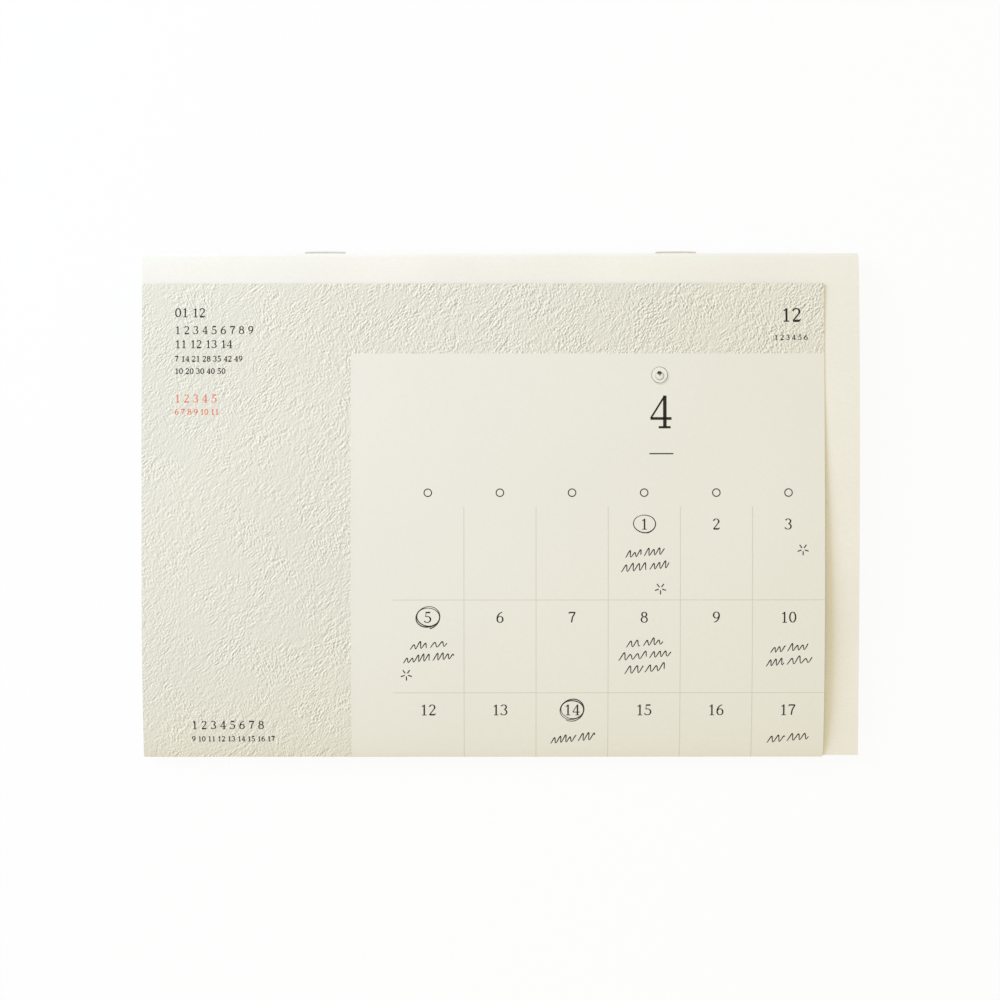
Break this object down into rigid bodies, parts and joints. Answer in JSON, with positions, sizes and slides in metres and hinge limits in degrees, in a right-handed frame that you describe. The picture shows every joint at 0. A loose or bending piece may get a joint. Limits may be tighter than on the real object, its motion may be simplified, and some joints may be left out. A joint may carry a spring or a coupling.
{
  "type": "wall calendar",
  "caption": "Closed landscape wall calendar: folded paper sheets held by wire staples, a plain cover that turns at the fold, and a printed sheet hooked over its front.",
  "frame": {"origin": "middle of the closed calendar, on the surface that it lies on", "axes": "+X along the fold, to the right as the front is read; +Y towards the fold; +Z out of the front"},
  "size_m": [0.21, 0.1486, 0.008],
  "materials": {
    "inner_paper": "matte uncoated",
    "cover_paper": "matte uncoated, cream",
    "title_paper": "matte, printed with a pale plaster texture",
    "pale_print": "matte print",
    "line_print": "matte print",
    "mark_print": "matte print",
    "staple_wire": "zinc coated wire"
  },
  "bodies": {
    "back_leaf": {"back_cover": "cover_paper"},
    "pages": {"page_block": "inner_paper", "cover_spine": "cover_paper", "staple_left": "staple_wire", "staple_right": "staple_wire"},
    "front_leaf": {"front_cover": "cover_paper", "title_sheet": "title_paper", "page_field": "pale_print", "grid_lines": "line_print", "pin_mark": "mark_print"}
  },
  "joints": [
    {"name": "pages_turn", "type": "hinge", "parent": "back_leaf", "child": "pages", "pos_m": [0, 0.073, 0.00193], "axis": [-1, 0, 0], "range_deg": [0, 155]},
    {"name": "front_cover_turn", "type": "hinge", "parent": "pages", "child": "front_leaf", "pos_m": [0, 0.073, 0.00467], "axis": [1, 0, 0], "range_deg": [-175, 0]}
  ]
}
